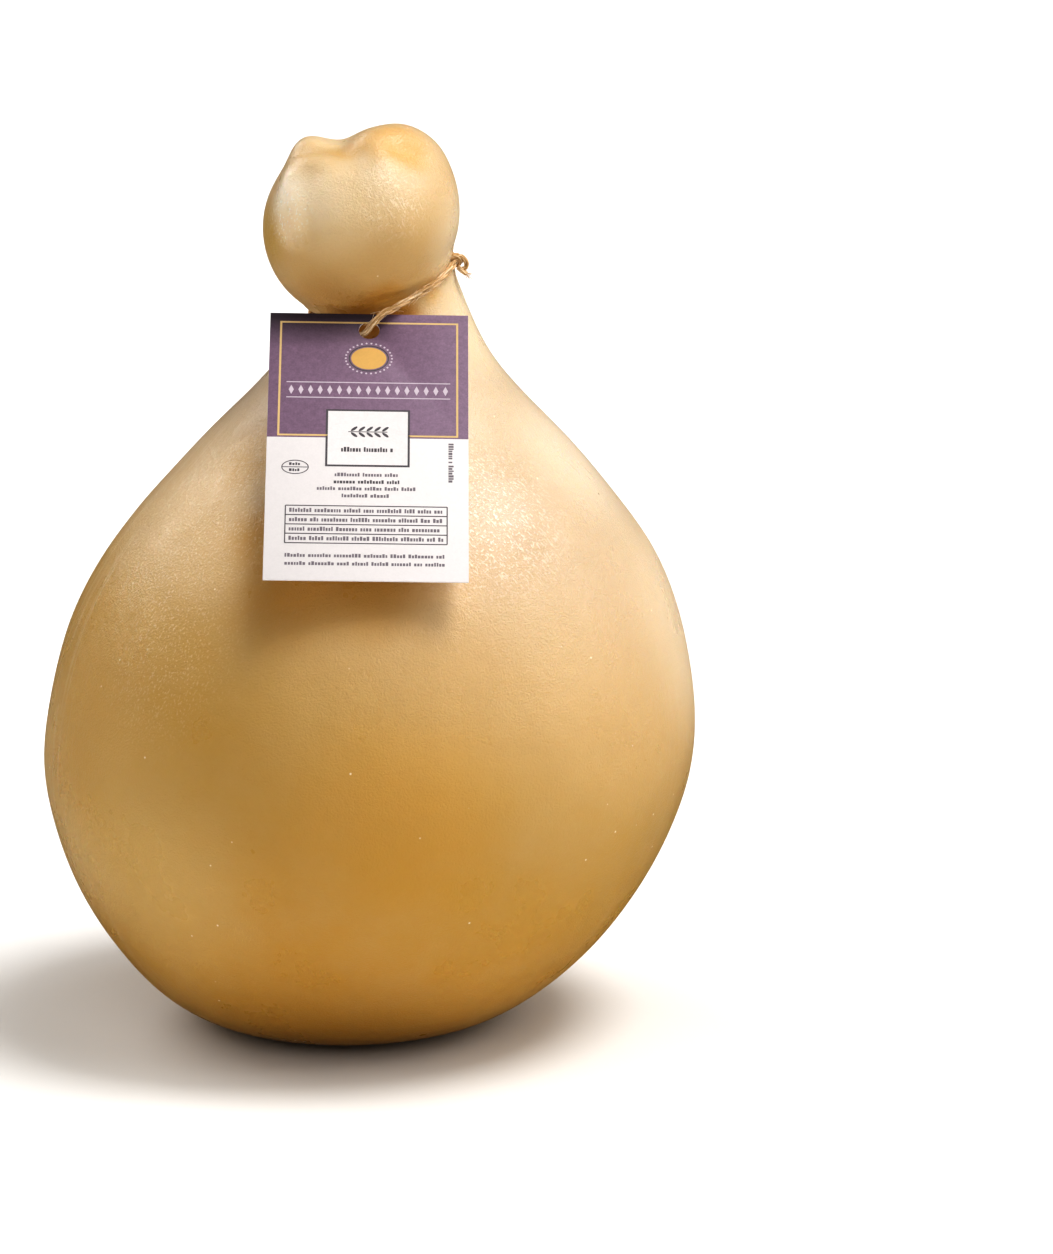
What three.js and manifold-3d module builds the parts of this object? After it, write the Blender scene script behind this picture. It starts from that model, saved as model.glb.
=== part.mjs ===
// Caciocavallo: a stretched-curd cheese that was hung by its neck to ripen. A pear-shaped body ends in a
// neck and a tied-off head, a twine is knotted round the neck, and a card tag hangs on the twine.
// Millimetres, +Z up, the tag's side faces -Y. The origin is the middle of the flat spot that the cheese stands on.
import * as THREE from "three";
import { mergeVertices } from "three/addons/utils/BufferGeometryUtils.js";
import Module from "manifold-3d";

// Body, as a straight turned pear
const SPOT_RADIUS = 26; // flat spot that the soft curd settled on
const SPOT_ROLL = 27.8; // how far the underside stays close to level round the spot
const BELLY_RADIUS = 81;
const BELLY_HEIGHT = 70.5; // height of the widest ring
const BELLY_DROP = 27.8; // fullness of the belly below its widest ring
const BELLY_RISE = 65.3; // and above it
const NECK_RADIUS = 16.8; // where the twine pulls the neck in
const NECK_HEIGHT = 186.2; // along the straight axis
const NECK_FLARE = 5.8; // the neck widens downwards by this much
const NECK_RUN = 33; // over this length

// Lean of the whole body to +X: offset = slope * z + curve * z * z
const LEAN_SLOPE = 0.0937;
const LEAN_CURVE = -0.000188;

// Head: a flattened ball on the neck, tipped to the left and forward
const TIE_CENTRE = new THREE.Vector3(10.4, -0.3, 185.6); // middle of the tied ring
const HEAD_CENTRE = new THREE.Vector3(4.6, -4, 201.3);
const HEAD_RADIUS = 24.1;
const HEAD_STRETCH = 0.05; // longer along this direction and shorter across it
const HEAD_LONG = new THREE.Vector3(0.62, 0, 0.78);
const HEAD_SHORT = new THREE.Vector3(0.78, 0, -0.62);
const BEND_START = 166; // height at which the straight body starts to tip into the head

// Folds that the hand left on the head. Each is a soft ridge (+) or hollow (-) along an arc between two
// directions from the head's centre, with its reach as an angle in radians and its height in millimetres.
const HEAD_FOLDS = [
  { name: "nub", from: [-0.6, -0.1, 0.79], to: [-0.58, 0.1, 0.81], reach: 0.18, push: 1.7 },
  { name: "saddle", from: [-0.28, -0.3, 0.95], to: [-0.2, 0.3, 0.95], reach: 0.3, push: -3.6 },
  { name: "left hollow", from: [-0.1, -0.68, 0.7], to: [-0.2, -0.5, 0.84], reach: 0.22, push: -1.4 },
  { name: "right hollow", from: [0.3, -0.5, 0.78], to: [0.62, -0.46, 0.62], reach: 0.2, push: -1.0 },
  { name: "flat top", from: [-0.1, -0.1, 0.99], to: [0.12, 0.0, 0.99], reach: 0.3, push: -1.7 },
  { name: "right lobe", from: [0.45, -0.05, 0.89], to: [0.68, -0.05, 0.73], reach: 0.25, push: 0.9 },
  { name: "left ridge", from: [-0.72, -0.46, 0.52], to: [-0.7, -0.68, -0.15], reach: 0.19, push: 0.8 },
  { name: "left groove", from: [-0.5, -0.76, 0.42], to: [-0.48, -0.87, 0.05], reach: 0.17, push: -0.7 },
  { name: "left flat", from: [-0.86, -0.3, 0.4], to: [-0.82, 0.1, 0.56], reach: 0.3, push: -0.8 },
];

// Twine: one turn round the neck. It starts in the knot on the right, crosses the tag's top edge, goes into
// the hole from the front, comes up behind the tag and runs round the left and the back to the knot.
const TWINE_RADIUS = 1.05;
const TWINE_SIDES = 8;
const TWINE_STEPS = 64;
const TWINE_ROUTE = [
  [27.4, -2.5, 191.0],
  [26.4, -7.6, 189.3],
  [23.6, -12.7, 187.0],
  [19.0, -17.3, 184.3],
  [13.6, -21.4, 181.6],
  [10.0, -24.0, 179.9],
  [8.0, -24.8, 177.9],
  [6.6, -23.9, 176.0],
  [4.6, -22.2, 175.0],
  [1.2, -19.4, 175.4],
  [-2.6, -15.2, 175.9],
  [-5.9, -9.2, 176.7],
  [-7.7, -2.0, 177.6],
  [-7.5, 4.8, 179.1],
  [-4.6, 11.0, 181.8],
  [0.7, 16.2, 184.5],
  [8.4, 18.4, 187.7],
  [15.8, 17.1, 190.0],
  [22.2, 12.6, 191.3],
  [26.2, 6.2, 191.6],
  [27.7, -0.4, 191.2],
];

// Knot on the right of the neck, with a small eye and one cut end
const KNOT_CENTRE = new THREE.Vector3(28.3, -3.2, 190.4);
const KNOT_RADIUS = 1.75;
const EYE_RADIUS = 0.7;
const EYE_ROUTE = [
  [28.3, -3.4, 190.8],
  [29.1, -3.5, 192.2],
  [31.0, -3.7, 192.0],
  [31.8, -3.7, 190.3],
  [30.4, -3.6, 188.9],
  [28.2, -3.3, 189.5],
];
const END_RADIUS = 0.65;
const END_ROUTE = [
  [28.4, -3.4, 189.9],
  [29.8, -4.0, 188.2],
  [31.6, -4.3, 187.0],
];

// Tag: stiff card with a punched hole near its top edge
const TAG_WIDTH = 47.4;
const TAG_HEIGHT = 76;
const TAG_THICKNESS = 0.45;
const TAG_HOLE_RADIUS = 2.5;
const TAG_HOLE_INSET = 4.8; // from the top edge to the hole's centre
const TAG_HOLE = new THREE.Vector3(7.2, -24.0, 176.3); // the hole's centre on the front face
const TAG_LEAN = 43; // degrees from upright, foot forward
const TAG_TURN = 3; // degrees, the right edge goes back
const TAG_ROLL = -1.5; // degrees in the card's own plane, the foot swings left

// Fineness
const AROUND = 72;
const LOWER_RINGS = 14;
const UPPER_RINGS = 23;
const HEAD_RINGS = 24;

const RIND = new THREE.MeshStandardMaterial({ name: "rind", color: 0xdbb477, roughness: 0.5, metalness: 0 });
const JUTE = new THREE.MeshStandardMaterial({ name: "jute", color: 0xb98a50, roughness: 0.95, metalness: 0 });
const CARD = new THREE.MeshStandardMaterial({ name: "card", color: 0xefe6e7, roughness: 0.7, metalness: 0 });

const wasm = await Module();
wasm.setup();

/** A closed geometry as a solid that can be joined. */
function solid(geometry) {
  const plain = geometry.clone();
  plain.deleteAttribute("normal");
  plain.deleteAttribute("uv");
  const merged = mergeVertices(plain, 1e-4);
  const mesh = new wasm.Mesh({
    numProp: 3,
    vertProperties: merged.getAttribute("position").array,
    triVerts: new Uint32Array(merged.index.array),
  });
  return new wasm.Manifold(mesh);
}

/** A joined solid as a geometry. */
function geometryOf(body) {
  const mesh = body.getMesh();
  const geometry = new THREE.BufferGeometry();
  geometry.setAttribute("position", new THREE.BufferAttribute(mesh.vertProperties, 3));
  geometry.setIndex(new THREE.BufferAttribute(mesh.triVerts, 1));
  geometry.computeVertexNormals();
  return geometry;
}

/** Centre of a body ring at a height. */
function leanAt(height) {
  return new THREE.Vector3(LEAN_SLOPE * height + LEAN_CURVE * height * height, 0, height);
}

const headAxis = HEAD_CENTRE.clone().sub(TIE_CENTRE);
const headRise = headAxis.length();
headAxis.normalize();
const tieRadius = Math.sqrt(HEAD_RADIUS * HEAD_RADIUS - headRise * headRise);
const up = new THREE.Vector3(0, 0, 1);
const headTurn = new THREE.Quaternion().setFromUnitVectors(up, headAxis);

/** The pear's half outline, radius and height along the straight axis, from the spot to the top of the head. */
function pearOutline() {
  const lower = new THREE.CubicBezierCurve(
    new THREE.Vector2(SPOT_RADIUS, 0),
    new THREE.Vector2(SPOT_RADIUS + SPOT_ROLL, 0),
    new THREE.Vector2(BELLY_RADIUS, BELLY_HEIGHT - BELLY_DROP),
    new THREE.Vector2(BELLY_RADIUS, BELLY_HEIGHT),
  );
  const upper = new THREE.CubicBezierCurve(
    new THREE.Vector2(BELLY_RADIUS, BELLY_HEIGHT),
    new THREE.Vector2(BELLY_RADIUS, BELLY_HEIGHT + BELLY_RISE),
    new THREE.Vector2(NECK_RADIUS + NECK_FLARE, NECK_HEIGHT - NECK_RUN),
    new THREE.Vector2(tieRadius, NECK_HEIGHT),
  );
  const outline = [new THREE.Vector2(0, 0)];
  outline.push(...lower.getSpacedPoints(LOWER_RINGS));
  outline.push(...upper.getSpacedPoints(UPPER_RINGS).slice(1));
  const start = -Math.asin(headRise / HEAD_RADIUS);
  for (let i = 1; i <= HEAD_RINGS; i += 1) {
    const latitude = THREE.MathUtils.lerp(start, Math.PI / 2, i / HEAD_RINGS);
    const radius = i === HEAD_RINGS ? 0 : HEAD_RADIUS * Math.cos(latitude);
    outline.push(new THREE.Vector2(radius, NECK_HEIGHT + headRise + HEAD_RADIUS * Math.sin(latitude)));
  }
  return outline;
}

const neckLine = new THREE.LineCurve3(leanAt(BEND_START), TIE_CENTRE);

/** Carries a point of the straight pear to its place on the leaning body, the bent neck or the tipped head. */
function bendPoint(point) {
  const height = point.z;
  const across = new THREE.Vector3(point.x, point.y, 0);
  if (height <= BEND_START) {
    return across.add(leanAt(height));
  }
  if (height >= NECK_HEIGHT) {
    return across.applyQuaternion(headTurn).add(TIE_CENTRE).addScaledVector(headAxis, height - NECK_HEIGHT);
  }
  const along = (height - BEND_START) / (NECK_HEIGHT - BEND_START);
  const turn = new THREE.Quaternion().slerp(headTurn, THREE.MathUtils.smoothstep(along, 0, 1));
  return across.applyQuaternion(turn).add(neckLine.getPoint(along));
}

/** Angle between a direction and the arc from one direction to another. */
function angleToArc(direction, from, to) {
  const chord = to.clone().sub(from);
  const share = THREE.MathUtils.clamp(direction.clone().sub(from).dot(chord) / chord.lengthSq(), 0, 1);
  return direction.angleTo(from.clone().addScaledVector(chord, share));
}

/** Gives the head its stretch and its folds. */
function shapeHead(point) {
  const direction = point.clone().sub(HEAD_CENTRE);
  const radius = direction.length();
  direction.normalize();
  const long = direction.dot(HEAD_LONG);
  const short = direction.dot(HEAD_SHORT);
  let shaped = radius * (1 + HEAD_STRETCH * (long * long - short * short));
  for (const fold of HEAD_FOLDS) {
    const from = new THREE.Vector3(...fold.from).normalize();
    const to = new THREE.Vector3(...fold.to).normalize();
    const share = angleToArc(direction, from, to) / fold.reach;
    shaped += fold.push * Math.exp(-share * share);
  }
  return HEAD_CENTRE.clone().addScaledVector(direction, shaped);
}

/** The cheese: the straight pear turned on a lathe, then leaned, bent and folded. */
function cheeseGeometry() {
  const geometry = new THREE.LatheGeometry(pearOutline(), AROUND).rotateX(Math.PI / 2);
  const position = geometry.getAttribute("position");
  const point = new THREE.Vector3();
  for (let i = 0; i < position.count; i += 1) {
    point.fromBufferAttribute(position, i);
    const onHead = THREE.MathUtils.smoothstep(point.z, NECK_HEIGHT - 6, NECK_HEIGHT);
    const placed = bendPoint(point);
    placed.lerp(shapeHead(placed), onHead);
    position.setXYZ(i, placed.x, placed.y, placed.z);
  }
  geometry.computeVertexNormals();
  return geometry;
}

/** A round tube along a smooth line through the given points, closed at both ends. */
function tubeGeometry(route, radius, steps) {
  const section = new THREE.Shape();
  for (let i = 0; i < TWINE_SIDES; i += 1) {
    const angle = (2 * Math.PI * i) / TWINE_SIDES;
    const x = radius * Math.cos(angle);
    const y = radius * Math.sin(angle);
    if (i === 0) {
      section.moveTo(x, y);
    } else {
      section.lineTo(x, y);
    }
  }
  section.closePath();
  const path = new THREE.CatmullRomCurve3(route.map((p) => new THREE.Vector3(...p)), false, "centripetal");
  return new THREE.ExtrudeGeometry(section, { steps, bevelEnabled: false, extrudePath: path });
}

/** The twine with its knot, eye and cut end, joined into one body. */
function twineGeometry() {
  const knot = new THREE.SphereGeometry(KNOT_RADIUS, 12, 8);
  knot.translate(KNOT_CENTRE.x, KNOT_CENTRE.y, KNOT_CENTRE.z);
  const body = solid(tubeGeometry(TWINE_ROUTE, TWINE_RADIUS, TWINE_STEPS))
    .add(solid(knot))
    .add(solid(tubeGeometry(EYE_ROUTE, EYE_RADIUS, 14)))
    .add(solid(tubeGeometry(END_ROUTE, END_RADIUS, 5)));
  return geometryOf(body);
}

/** The card, its hole's centre at the origin, its print facing +Z. */
function tagGeometry() {
  const outline = new THREE.Shape();
  const top = TAG_HOLE_INSET;
  outline.moveTo(-TAG_WIDTH / 2, top - TAG_HEIGHT);
  outline.lineTo(TAG_WIDTH / 2, top - TAG_HEIGHT);
  outline.lineTo(TAG_WIDTH / 2, top);
  outline.lineTo(-TAG_WIDTH / 2, top);
  outline.closePath();
  const hole = new THREE.Path();
  hole.absarc(0, 0, TAG_HOLE_RADIUS, 0, 2 * Math.PI, true);
  outline.holes.push(hole);
  const card = new THREE.ExtrudeGeometry(outline, { depth: TAG_THICKNESS, bevelEnabled: false, curveSegments: 20 });
  return card.translate(0, 0, -TAG_THICKNESS);
}

const caciocavallo = new THREE.Group();

const cheese = new THREE.Mesh(cheeseGeometry(), RIND);
cheese.name = "cheese";
caciocavallo.add(cheese);

const twine = new THREE.Mesh(twineGeometry(), JUTE);
twine.name = "twine";
caciocavallo.add(twine);

const tagHang = new THREE.Group();
tagHang.position.copy(TAG_HOLE);
tagHang.rotation.z = THREE.MathUtils.degToRad(TAG_TURN);
const tagLean = new THREE.Group();
tagLean.rotation.x = THREE.MathUtils.degToRad(90 - TAG_LEAN);
const tag = new THREE.Mesh(tagGeometry(), CARD);
tag.name = "tag";
tag.rotation.z = THREE.MathUtils.degToRad(TAG_ROLL);
tagLean.add(tag);
tagHang.add(tagLean);
caciocavallo.add(tagHang);

export default caciocavallo;
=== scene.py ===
"""A whole caciocavallo: a pear-shaped cheese with a tied head, a jute twine round its neck and a card tag.

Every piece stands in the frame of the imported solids, in metres, with +Z up and the tag facing -Y.
"""

from __future__ import annotations

import logging
import math
import random
from dataclasses import dataclass, field
from enum import Enum

import bpy
import numpy as np
from mathutils import Euler, Matrix, Vector, kdtree, noise

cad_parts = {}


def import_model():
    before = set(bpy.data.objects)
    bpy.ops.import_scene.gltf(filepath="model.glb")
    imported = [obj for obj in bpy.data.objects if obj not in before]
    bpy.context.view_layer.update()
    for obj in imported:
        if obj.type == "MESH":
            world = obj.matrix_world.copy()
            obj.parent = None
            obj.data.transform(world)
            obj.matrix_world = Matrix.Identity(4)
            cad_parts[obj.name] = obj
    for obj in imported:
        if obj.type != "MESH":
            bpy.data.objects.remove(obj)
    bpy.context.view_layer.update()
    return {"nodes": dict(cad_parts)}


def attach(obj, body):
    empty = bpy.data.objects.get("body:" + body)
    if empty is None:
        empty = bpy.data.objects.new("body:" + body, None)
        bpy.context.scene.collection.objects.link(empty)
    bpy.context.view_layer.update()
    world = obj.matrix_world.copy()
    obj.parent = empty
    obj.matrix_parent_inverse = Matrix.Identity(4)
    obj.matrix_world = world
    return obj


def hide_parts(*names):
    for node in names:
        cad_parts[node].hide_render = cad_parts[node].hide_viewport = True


LOG = logging.getLogger("caciocavallo")
MM = 0.001
BODY = "root"
CURVE_STEPS = 40

Point = tuple[float, float, float]
Span = tuple[float, float]
Tree = bpy.types.NodeTree
Socket = bpy.types.NodeSocket
Obj = bpy.types.Object
Material = bpy.types.Material

# The twine's own route, the same points as the solid's, in millimetres.
TWINE_ROUTE: tuple[Point, ...] = (
    (27.4, -2.5, 191.0),
    (26.4, -7.6, 189.3),
    (23.6, -12.7, 187.0),
    (19.0, -17.3, 184.3),
    (13.6, -21.4, 181.6),
    (10.0, -24.0, 179.9),
    (8.0, -24.8, 177.9),
    (6.6, -23.9, 176.0),
    (4.6, -22.2, 175.0),
    (1.2, -19.4, 175.4),
    (-2.6, -15.2, 175.9),
    (-5.9, -9.2, 176.7),
    (-7.7, -2.0, 177.6),
    (-7.5, 4.8, 179.1),
    (-4.6, 11.0, 181.8),
    (0.7, 16.2, 184.5),
    (8.4, 18.4, 187.7),
    (15.8, 17.1, 190.0),
    (22.2, 12.6, 191.3),
    (26.2, 6.2, 191.6),
    (27.7, -0.4, 191.2),
)
EYE_ROUTE: tuple[Point, ...] = (
    (27.5, -3.3, 190.6),
    (27.9, -3.4, 191.6),
    (28.9, -3.6, 191.9),
    (29.8, -3.7, 191.1),
    (30.3, -3.7, 190.0),
    (29.9, -3.7, 189.1),
    (28.9, -3.6, 188.9),
    (27.9, -3.4, 189.5),
)
END_ROUTE: tuple[Point, ...] = (
    (28.2, -3.6, 189.4),
    (29.3, -4.1, 188.5),
    (30.5, -4.3, 187.5),
)


def linear(hex_colour: str) -> tuple[float, float, float, float]:
    """Turns an sRGB hex colour to linear light.

    Args:
        hex_colour: six hex digits with a leading #.

    Returns:
        Red, green, blue and an alpha of 1.
    """
    parts = [int(hex_colour[i:i + 2], 16) / 255 for i in (1, 3, 5)]
    light = [c / 12.92 if c <= 0.04045 else ((c + 0.055) / 1.055) ** 2.4 for c in parts]
    return light[0], light[1], light[2], 1.0


def per_mm(size_mm: float) -> float:
    """Texture scale in a metre frame for a pattern of the given size in millimetres."""
    return 1 / (size_mm * MM)


def ends(side: str, span: Span, unit: float = 1.0) -> dict[str, float]:
    """Sets both ends of one side of a Map Range node.

    Args:
        side: From or To.
        span: the values at the two ends.
        unit: what the values are counted in.

    Returns:
        The node's two inputs.
    """
    return {f"{side} Min": span[0] * unit, f"{side} Max": span[1] * unit}


def add_node(tree: Tree, kind: str, inputs: dict | None = None, **settings) -> bpy.types.NodeOutputs:
    """Adds a node with its settings and its links.

    Args:
        tree: the material's or world's node tree.
        kind: the shader node's type name, without its first two words.
        inputs: socket name or index to a value, or to an output socket that is linked in.
        settings: properties of the node itself.

    Returns:
        The new node's outputs.
    """
    node = tree.nodes.new(f"ShaderNode{kind}")
    for name, value in settings.items():
        setattr(node, name, value)
    for key, value in (inputs or {}).items():
        if isinstance(value, Socket):
            tree.links.new(value, node.inputs[key])
        else:
            node.inputs[key].default_value = value
    return node.outputs


def new_material(name: str) -> tuple[Material, Tree]:
    """Starts a material with an empty node tree.

    Args:
        name: the real material's name.

    Returns:
        The material and its node tree.
    """
    material = bpy.data.materials.new(name)
    material.use_nodes = True
    material.node_tree.nodes.clear()
    return material, material.node_tree


def surface(tree: Tree, inputs: dict) -> None:
    """Ends a material's tree in its surface shader.

    Args:
        tree: the material's node tree.
        inputs: the Principled shader's values and links.
    """
    shader = add_node(tree, "BsdfPrincipled", inputs)
    add_node(tree, "OutputMaterial", {"Surface": shader["BSDF"]})


def select_only(obj: Obj) -> None:
    """Makes one object the only selected and the active one.

    Args:
        obj: the object.
    """
    bpy.ops.object.select_all(action="DESELECT")
    obj.select_set(True)
    bpy.context.view_layer.objects.active = obj


def apply_modifier(obj: Obj, kind: str, **settings) -> None:
    """Adds a modifier with its settings and applies it.

    Args:
        obj: the object that takes the modifier.
        kind: the modifier's type name.
        settings: properties of the modifier.
    """
    select_only(obj)
    modifier = obj.modifiers.new(kind.title(), kind)
    for name, value in settings.items():
        setattr(modifier, name, value)
    bpy.ops.object.modifier_apply(modifier=modifier.name)


def hand_over(piece: Obj, node: str | None = None) -> None:
    """Puts a finished piece on the body and the solid that it stands for.

    Args:
        piece: the finished piece.
        node: the solid that the piece replaces, if any.
    """
    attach(piece, BODY)
    if node is not None:
        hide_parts(node)
    LOG.info("%s: %d faces", piece.name, len(piece.data.polygons))


def smooth_route(points: tuple[Point, ...], step_mm: float) -> list[Vector]:
    """Runs a centripetal curve through points and walks along it in even steps.

    Args:
        points: the route in millimetres.
        step_mm: distance between the returned points.

    Returns:
        Points on the curve, in millimetres.
    """
    raw = [Vector(p) for p in points]
    raw = [2 * raw[0] - raw[1], *raw, 2 * raw[-1] - raw[-2]]
    dense: list[Vector] = []
    for p0, p1, p2, p3 in zip(raw, raw[1:], raw[2:], raw[3:]):
        t1 = (p1 - p0).length ** 0.5
        t2 = t1 + (p2 - p1).length ** 0.5
        t3 = t2 + (p3 - p2).length ** 0.5
        for i in range(CURVE_STEPS):
            t = t1 + (t2 - t1) * i / CURVE_STEPS
            a1 = p0 * ((t1 - t) / t1) + p1 * (t / t1)
            a2 = p1 * ((t2 - t) / (t2 - t1)) + p2 * ((t - t1) / (t2 - t1))
            a3 = p2 * ((t3 - t) / (t3 - t2)) + p3 * ((t - t2) / (t3 - t2))
            b1 = a1 * ((t2 - t) / t2) + a2 * (t / t2)
            b2 = a2 * ((t3 - t) / (t3 - t1)) + a3 * ((t - t1) / (t3 - t1))
            dense.append(b1 * ((t2 - t) / (t2 - t1)) + b2 * ((t - t1) / (t2 - t1)))
    dense.append(raw[-2].copy())
    walk = [dense[0].copy()]
    carried = 0.0
    for a, b in zip(dense, dense[1:]):
        length = (b - a).length
        while carried + length >= step_mm:
            share = (step_mm - carried) / length
            a = a.lerp(b, share)
            walk.append(a.copy())
            length = (b - a).length
            carried = 0.0
        carried += length
    return walk


def route_frames(walk: list[Vector]) -> list[tuple[Vector, Vector, Vector]]:
    """Carries a pair of cross directions along a route without twist.

    Args:
        walk: points on the route.

    Returns:
        Tangent, first and second cross direction at each point.
    """
    frames: list[tuple[Vector, Vector, Vector]] = []
    side = Vector((0, 0, 1))
    for i in range(len(walk)):
        tangent = (walk[min(i + 1, len(walk) - 1)] - walk[max(i - 1, 0)]).normalized()
        side = (side - tangent * side.dot(tangent)).normalized()
        frames.append((tangent, side.copy(), tangent.cross(side)))
    return frames


def around(side: Vector, across: Vector, turn: float) -> Vector:
    """Direction at an angle from the first of two cross directions towards the second."""
    return side * math.cos(turn) + across * math.sin(turn)


class Ink(Enum):
    """Printing inks on the tag, each with its sRGB colour and its gloss as a roughness."""

    PURPLE = ("plum_offset_ink", "#7f657a", 0.62)
    GOLD = ("ochre_gold_ink", "#d2a557", 0.5)
    RULE = ("pale_gold_ink", "#d4b47b", 0.5)
    WHITE = ("card_white_ink", "#e3dddb", 0.7)
    PALE = ("pale_plum_ink", "#cbbdc6", 0.65)
    DARK = ("dark_grey_ink", "#4c464a", 0.6)
    GREY = ("mid_grey_ink", "#746c72", 0.65)

    def __init__(self, label: str, colour: str, roughness: float) -> None:
        """Keeps the ink's values.

        Args:
            label: the material's name.
            colour: sRGB hex colour.
            roughness: roughness of the dry ink.
        """
        self.label = label
        self.colour = colour
        self.roughness = roughness


@dataclass(frozen=True)
class Patch:
    """A soft-edged place of another tone on the rind, in millimetres; many are painted light and painted
    shade.
    """

    centre: Point
    reach: float
    colour: str
    share: float


class Catch(Enum):
    """How the pale marks of painted highlight are shaped."""

    STROKES = "crossing strokes"
    FLECKS = "short flecks"


@dataclass(frozen=True)
class PaintedGlints(Patch):
    """A soft-edged place of painted highlight, pale marks on the finest relief, in millimetres."""

    catch: Catch


@dataclass(frozen=True)
class Specks:
    """Sparse spots on the rind: spacing and size in millimetres, the share left out and the colour."""

    gap: float
    size: float
    missing: float
    colour: str


@dataclass(frozen=True)
class Relief:
    """Depths of the rind's relief, in millimetres."""

    grain: float = 0.1
    ridge: float = 0.07
    stroke: float = 0.08
    lump: float = 0.35
    drawn_sheen: float = 0.08


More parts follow.
